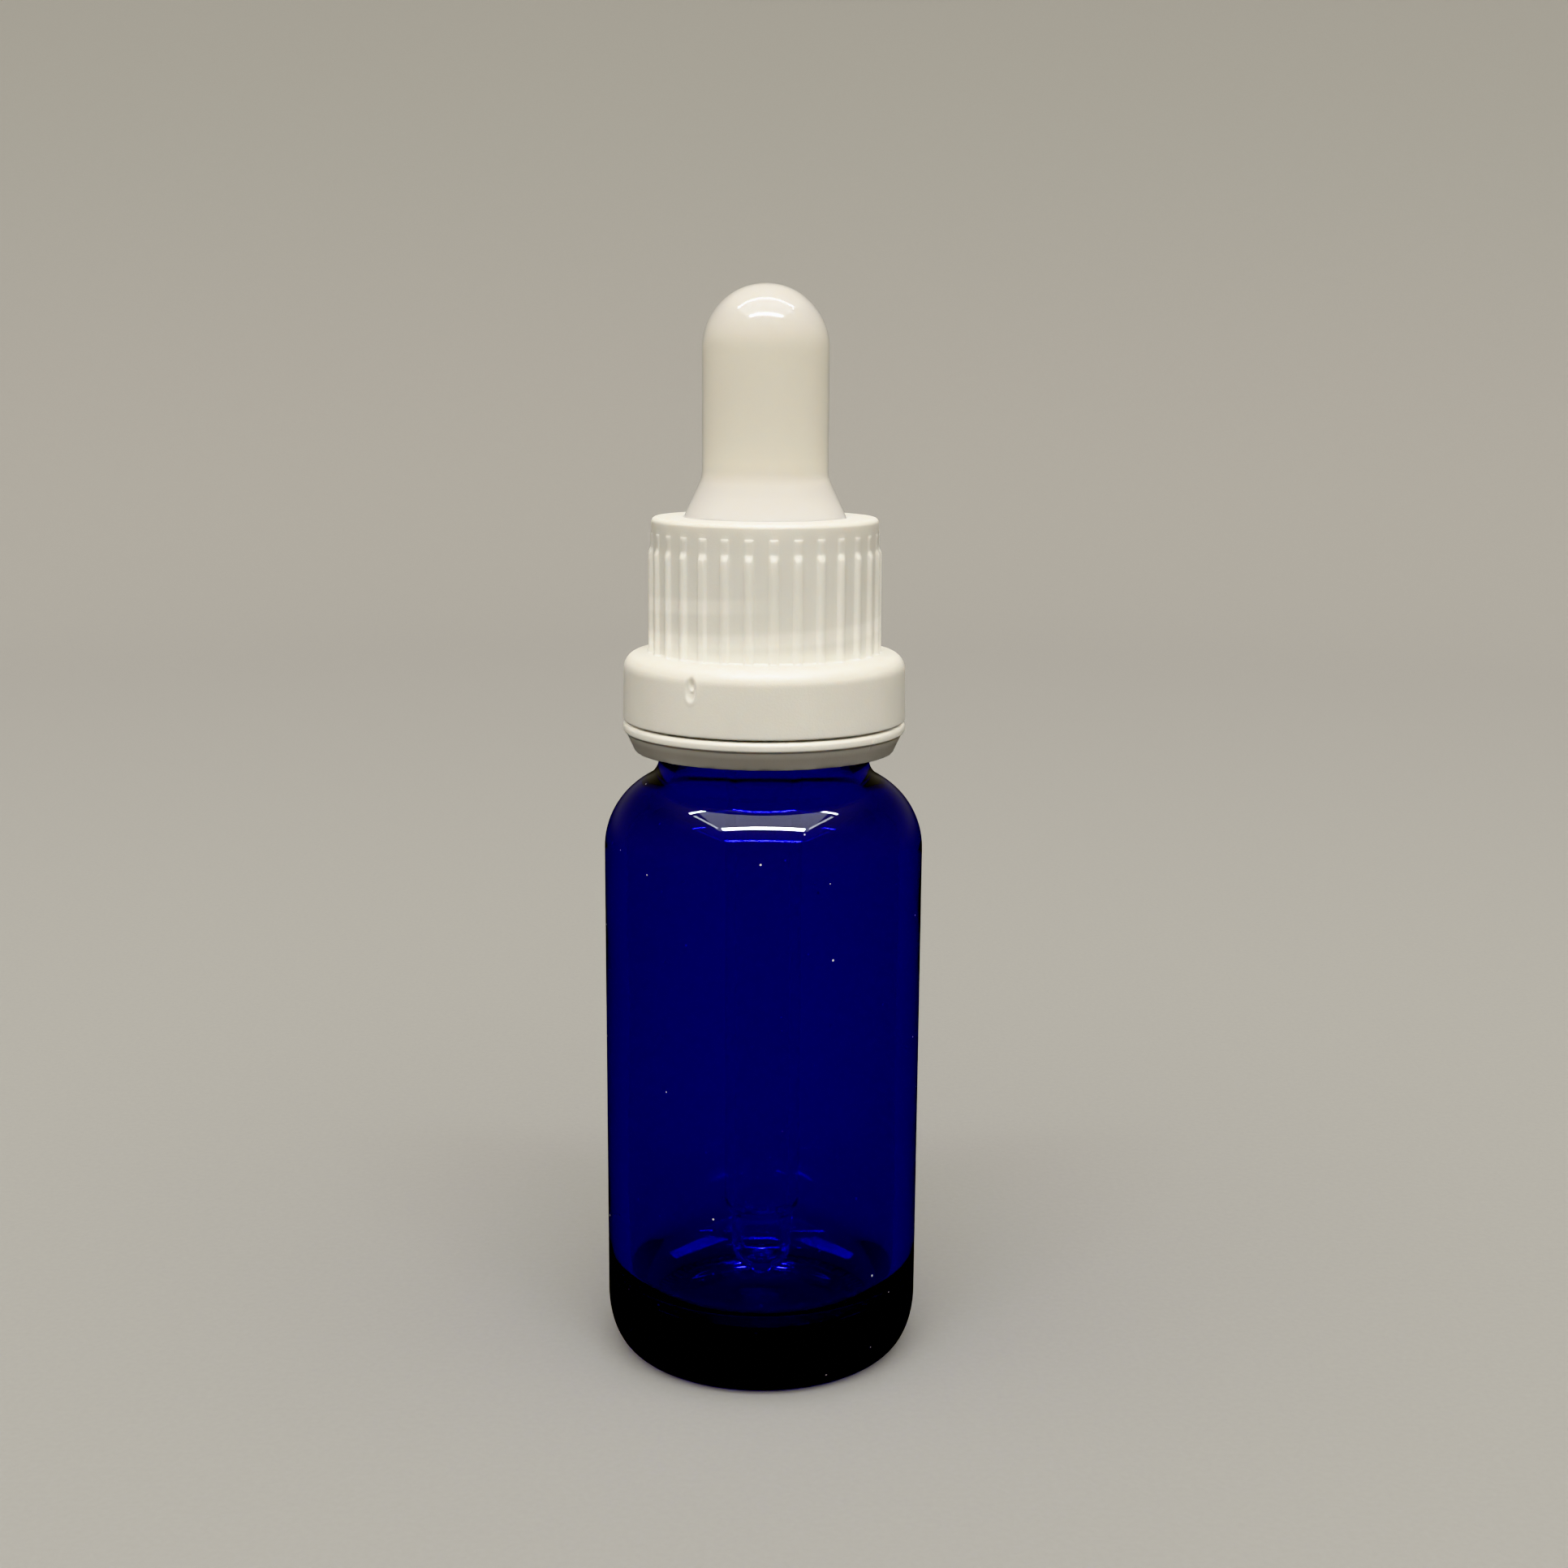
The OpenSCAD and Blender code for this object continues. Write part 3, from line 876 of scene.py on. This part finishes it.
def band_marks(r, z, turn):
    """A weld line across the lip, and a ragged edge at the foot."""
    side = (turn - WELD_TURN + 180) % 360 - 180
    weld = 0.0
    if r > COLLAR_R - 0.7 and z > BAND_STEP - 0.1:
        weld = -0.07 * math.exp(-((side / 0.45) ** 2)) + 0.03 * math.exp(-(((side - 1.2) / 0.8) ** 2))
    ragged = 0.0
    if r > BAND_FOOT_R - 0.4 and z < BAND_LOW + RAGGED_H:
        waves = (math.sin(math.radians(k * turn) + k * k) for k in (3, 7, 13, 29, 47))
        ragged = RAGGED_DEPTH * sum(waves) * (1 - (z - BAND_LOW) / RAGGED_H)
    return weld + ragged


def make_band(finish):
    """The tamper band: a lip at its top, a tapered foot and, inside, the catch under the neck's bead."""
    outline = softened(
        [
            (CATCH_R + 0.3, BAND_LOW, 0.08, 2),
            (BAND_FOOT_R, BAND_LOW, 0.12, 6),
            (COLLAR_R - 0.26, BAND_STEP, 0.12, 1),
            (COLLAR_R, BAND_LIP_LOW, 0.16, 1),
            (COLLAR_R, BAND_TOP, 0.38, 2),
            (COLLAR_BORE_R, BAND_TOP, 0.1, 2),
            (COLLAR_BORE_R, CATCH_TOP, 0.1, 2),
            (CATCH_R, CATCH_HIGH, 0.1, 1),
            (CATCH_R, CATCH_LOW, 0.1, 1),
        ],
        closed=True,
    )
    turns = finer_near(even_turns(288), WELD_TURN % 360, WELD_REACH, 0.2)
    band = turned("tamper_ring", outline, turns, shape=band_marks)
    band.data.materials.append(finish)
    smooth(band)
    return band


def make_bulb(finish):
    """The hollow bulb: a round top, a flared foot, the clamped flange and the sleeve for the pipette."""
    dome = BULB_TOP - BULB_R
    blend_centre = (BULB_R + FLARE_ROUND, FLARE_TOP)
    flare = arc(blend_centre, FLARE_ROUND, 180 + FLARE_ANGLE, 180, 10)
    foot = softened(
        [
            (GRIP_R, CAVITY_LOW, 0.15, 2),
            (GRIP_R, SLEEVE_LOW, 0.2, 1),
            (SLEEVE_R, SLEEVE_LOW, 0.4, 2),
            (SLEEVE_R, FLANGE_LOW, 0.25, 2),
            (FLANGE_R, FLANGE_LOW, 0.3, 1),
            (FLANGE_R, FLANGE_TOP, 0.3, 1),
            (BULB_FOOT_R, FLANGE_TOP, 0.15, 2),
            (BULB_FOOT_R, BULB_FOOT_TOP, 0.3, 4),
            (*flare[0], 0, 1),
        ],
        closed=False,
    )
    outside = flare[1:]
    outside += straight((BULB_R, FLARE_TOP), (BULB_R, dome), 16)[1:]
    outside += arc((0, dome), BULB_R, 0, 90, 26)[1:]
    inside = arc((0, dome), CAVITY_R, 90, 0, 20)
    inside += straight((CAVITY_R, dome), (CAVITY_R, CAVITY_LOW), 16)[1:]
    bulb = turned("squeeze_bulb", inside + foot + outside, even_turns(160))
    bulb.data.materials.append(finish)
    smooth(bulb)
    return bulb


def make_pipette(finish):
    """The drawn tube: a beaded head, a shoulder, and a nozzle with a round end and a hole in it."""
    hole = math.degrees(math.acos((ORIFICE_R + ORIFICE_EDGE) / NOZZLE_R))
    bore_hole = math.degrees(math.acos(ORIFICE_R / NOZZLE_BORE_R))
    tip = arc((0, TIP_ROUND_Z), NOZZLE_R, -hole, 0, 14)
    bowl = arc((0, TIP_ROUND_Z + TIP_WALL), NOZZLE_BORE_R, 0, -bore_hole, 12)
    tube = softened(
        [
            (*tip[-1], 0, 6),
            (NOZZLE_R, NOZZLE_TOP, 0.5, 1),
            (TUBE_R, SHOULDER_TOP, 0.9, 20),
            (TUBE_R, HEAD_LOW, 0.25, 1),
            (HEAD_R, HEAD_LOW, 0.3, 1),
            (HEAD_R, HEAD_TOP, 0.4, 1),
            (TUBE_BORE_R, HEAD_TOP, 0.3, 20),
            (TUBE_BORE_R, SHOULDER_TOP + TIP_WALL, 0.9, 1),
            (NOZZLE_BORE_R, NOZZLE_TOP + TIP_WALL, 0.5, 6),
            (*bowl[0], 0, 1),
        ],
        closed=False,
        steps=8,
    )
    edge = [(ORIFICE_R, tip[0][1] + TIP_WALL), (ORIFICE_R, tip[0][1] + ORIFICE_EDGE)]
    pipette = turned("glass_tube", tip + tube[1:] + bowl[1:] + edge, even_turns(128))
    pipette.data.materials.append(finish)
    smooth(pipette)
    return pipette


def make_sweep(finish):
    """A round pale floor whose far edge curves up all round."""
    outline = [(0.2, 0), (0.35, 0)]
    outline += arc((FLOOR_REACH, SWEEP_R), SWEEP_R, -90, 0, 40)
    turns = [math.radians(a) for a in even_turns(96)]
    points = [(r * math.cos(a), r * math.sin(a), z) for r, z in outline for a in turns]
    count = len(turns)
    faces = [tuple(range(count))]
    for row in range(len(outline) - 1):
        for i in range(count):
            j = (i + 1) % count
            a, b = row * count, (row + 1) * count
            faces.append((a + i, b + i, b + j, a + j))
    mesh = bpy.data.meshes.new("pale_sweep")
    mesh.from_pydata(points, [], faces)
    mesh.materials.append(finish)
    mesh.shade_smooth()
    sweep = bpy.data.objects.new("pale_sweep", mesh)
    sweep.visible_diffuse = False
    sweep.visible_glossy = False
    bpy.context.scene.collection.objects.link(sweep)


def soft_box(name, place, size, power, mirrored_only=False, turn=0):
    """A rectangular soft light that faces down. It may show in polished surfaces only."""
    light = bpy.data.lights.new(name, "AREA")
    light.shape = "RECTANGLE"
    light.size, light.size_y = size
    light.energy = power
    light.color = (0.94, 0.97, 1.0)
    lamp = bpy.data.objects.new(name, light)
    lamp.location = place
    lamp.rotation_euler.z = math.radians(turn)
    lamp.visible_diffuse = not mirrored_only
    bpy.context.scene.collection.objects.link(lamp)
    return lamp


def light_glass(pieces):
    """Lamps behind the bottle that light its glass only, as glints on the floor inside it."""
    glass_only = bpy.data.collections.new("glass_only")
    for piece in pieces:
        glass_only.objects.link(piece)
    place = (0, REAR_SHORT_Y, LAMP_HEIGHT)
    lamps = [soft_box("rear_short_strip", place, (0.2, 0.14), 12.0, mirrored_only=True)]
    for side in (-1, 1):
        place = (REAR_SIDE_X * side, REAR_SIDE_Y, LAMP_HEIGHT)
        turn = -REAR_SIDE_TURN * side
        lamps.append(soft_box("rear_side_strip", place, (0.3, 1.0), 20.0, mirrored_only=True, turn=turn))
    for lamp in lamps:
        lamp.light_linking.receiver_collection = glass_only


def light_studio():
    """An overhead panel with brighter strips at its edges, and a soft fill from pale walls.

    What is mirrored of the walls is dimmer than the light that they give.
    """
    height = LAMP_HEIGHT
    soft_box("overhead_panel", (0, PANEL_Y, height + 0.02), (1.4, 0.86), 10.0, mirrored_only=True)
    soft_box("front_strip", (0, FRONT_STRIP_Y, height), (1.2, 0.1), 8.0)
    soft_box("front_tubes", (0, FRONT_STRIP_Y, height - 0.01), (1.2, 0.11), 88.0, mirrored_only=True)
    soft_box("rear_tubes", (0, REAR_TUBES_Y, height), (1.66, 0.06), 22.0, mirrored_only=True)
    for side in (-1, 1):
        place = (SIDE_STRIP_X * side, PANEL_Y, height)
        turn = -SIDE_STRIP_TURN * side
        soft_box("side_strip", place, (0.05, 0.62), 0.9, mirrored_only=True, turn=turn)
    world = bpy.data.worlds.new("soft_fill")
    bpy.context.scene.world = world
    world.use_nodes = True
    tree = world.node_tree
    direction = tree.nodes.new("ShaderNodeTexCoord").outputs["Generated"]
    _, back, up = parts_of(tree, direction)
    mirrored = Field(tree, tree.nodes.new("ShaderNodeLightPath").outputs["Is Glossy Ray"])
    low_walls = up.ramp(0.0, 0.25, 0.02, 0.4) - up.ramp(0.7, 0.95, 0.0, 0.32)
    high_walls = (up.ramp(0.3, 0.5) - up.ramp(0.65, 0.8)) * back.ramp(0.7, -0.5, 1.65, 4.05)
    walls = low_walls + high_walls
    ceiling = up.ramp(0.55, 0.95, 0.0, 0.5)
    room = up.ramp(0.5, 0.1) * back.ramp(0.3, 0.95, 0.0, 0.14) + 0.05
    dim_walls = room * up.ramp(-0.15, 0.1) + ceiling
    fill = tree.nodes["Background"]
    fill.inputs["Color"].default_value = (1.0, 0.93, 0.79, 1)
    feed(tree, walls + (dim_walls - walls) * mirrored, fill.inputs["Strength"])


def set_camera():
    """The photograph's camera: a little above the bottle, 11 degrees down, very slightly rolled."""
    pitch, yaw, roll = (math.radians(a) for a in (CAMERA_PITCH, CAMERA_YAW, CAMERA_ROLL))
    ahead = Vector((math.sin(yaw) * math.cos(pitch), math.cos(yaw) * math.cos(pitch), -math.sin(pitch)))
    level = Vector((math.cos(yaw), -math.sin(yaw), 0))
    up = level.cross(ahead)
    right = level * math.cos(roll) + up * math.sin(roll)
    up = up * math.cos(roll) - level * math.sin(roll)
    lens = bpy.data.cameras.new("front_view")
    lens.sensor_width = 36.0
    lens.lens = lens.sensor_width * PHOTO_FOCAL / PHOTO_WIDTH
    lens.clip_start = 0.005
    camera = bpy.data.objects.new("front_view", lens)
    facing = Matrix((right, up, -ahead)).transposed().to_4x4()
    camera.matrix_world = Matrix.Translation(CAMERA_PLACE) @ facing
    bpy.context.scene.collection.objects.link(camera)
    bpy.context.scene.camera = camera


set_camera()
light_studio()
make_sweep(pale_paper())

cap_white = moulded_white(
    "cap_plastic", light=(0.93, 0.92, 0.895), shade=(0.765, 0.757, 0.724), gloss=0.42, thickness_and_painted_shade=thick_parts
)
# The band's shade colour is painted shade on its tapered foot, under the lip.
band_white = moulded_white(
    "band_plastic", light=(0.86, 0.85, 0.82), shade=(0.6, 0.585, 0.56), gloss=0.4, thickness_and_painted_shade=band_skirt_over_painted_shade
)

bottle = make_bottle(cobalt_glass())
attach(bottle, "bottle")
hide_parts("glass_bottle")

cap = make_cap(cap_white)
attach(cap, "cap")
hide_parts("screw_cap")

bridges = make_bridges(cap_white)
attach(bridges, "cap")

band = make_band(band_white)
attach(band, "band")
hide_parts("tamper_band")

pipette = make_pipette(clear_glass())
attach(pipette, "dropper")
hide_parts("glass_pipette")
light_glass((bottle, pipette))

bulb = make_bulb(milky_rubber())
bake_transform(bulb)
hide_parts("dropper_bulb")

bpy.context.scene.view_settings.view_transform = "Khronos PBR Neutral"
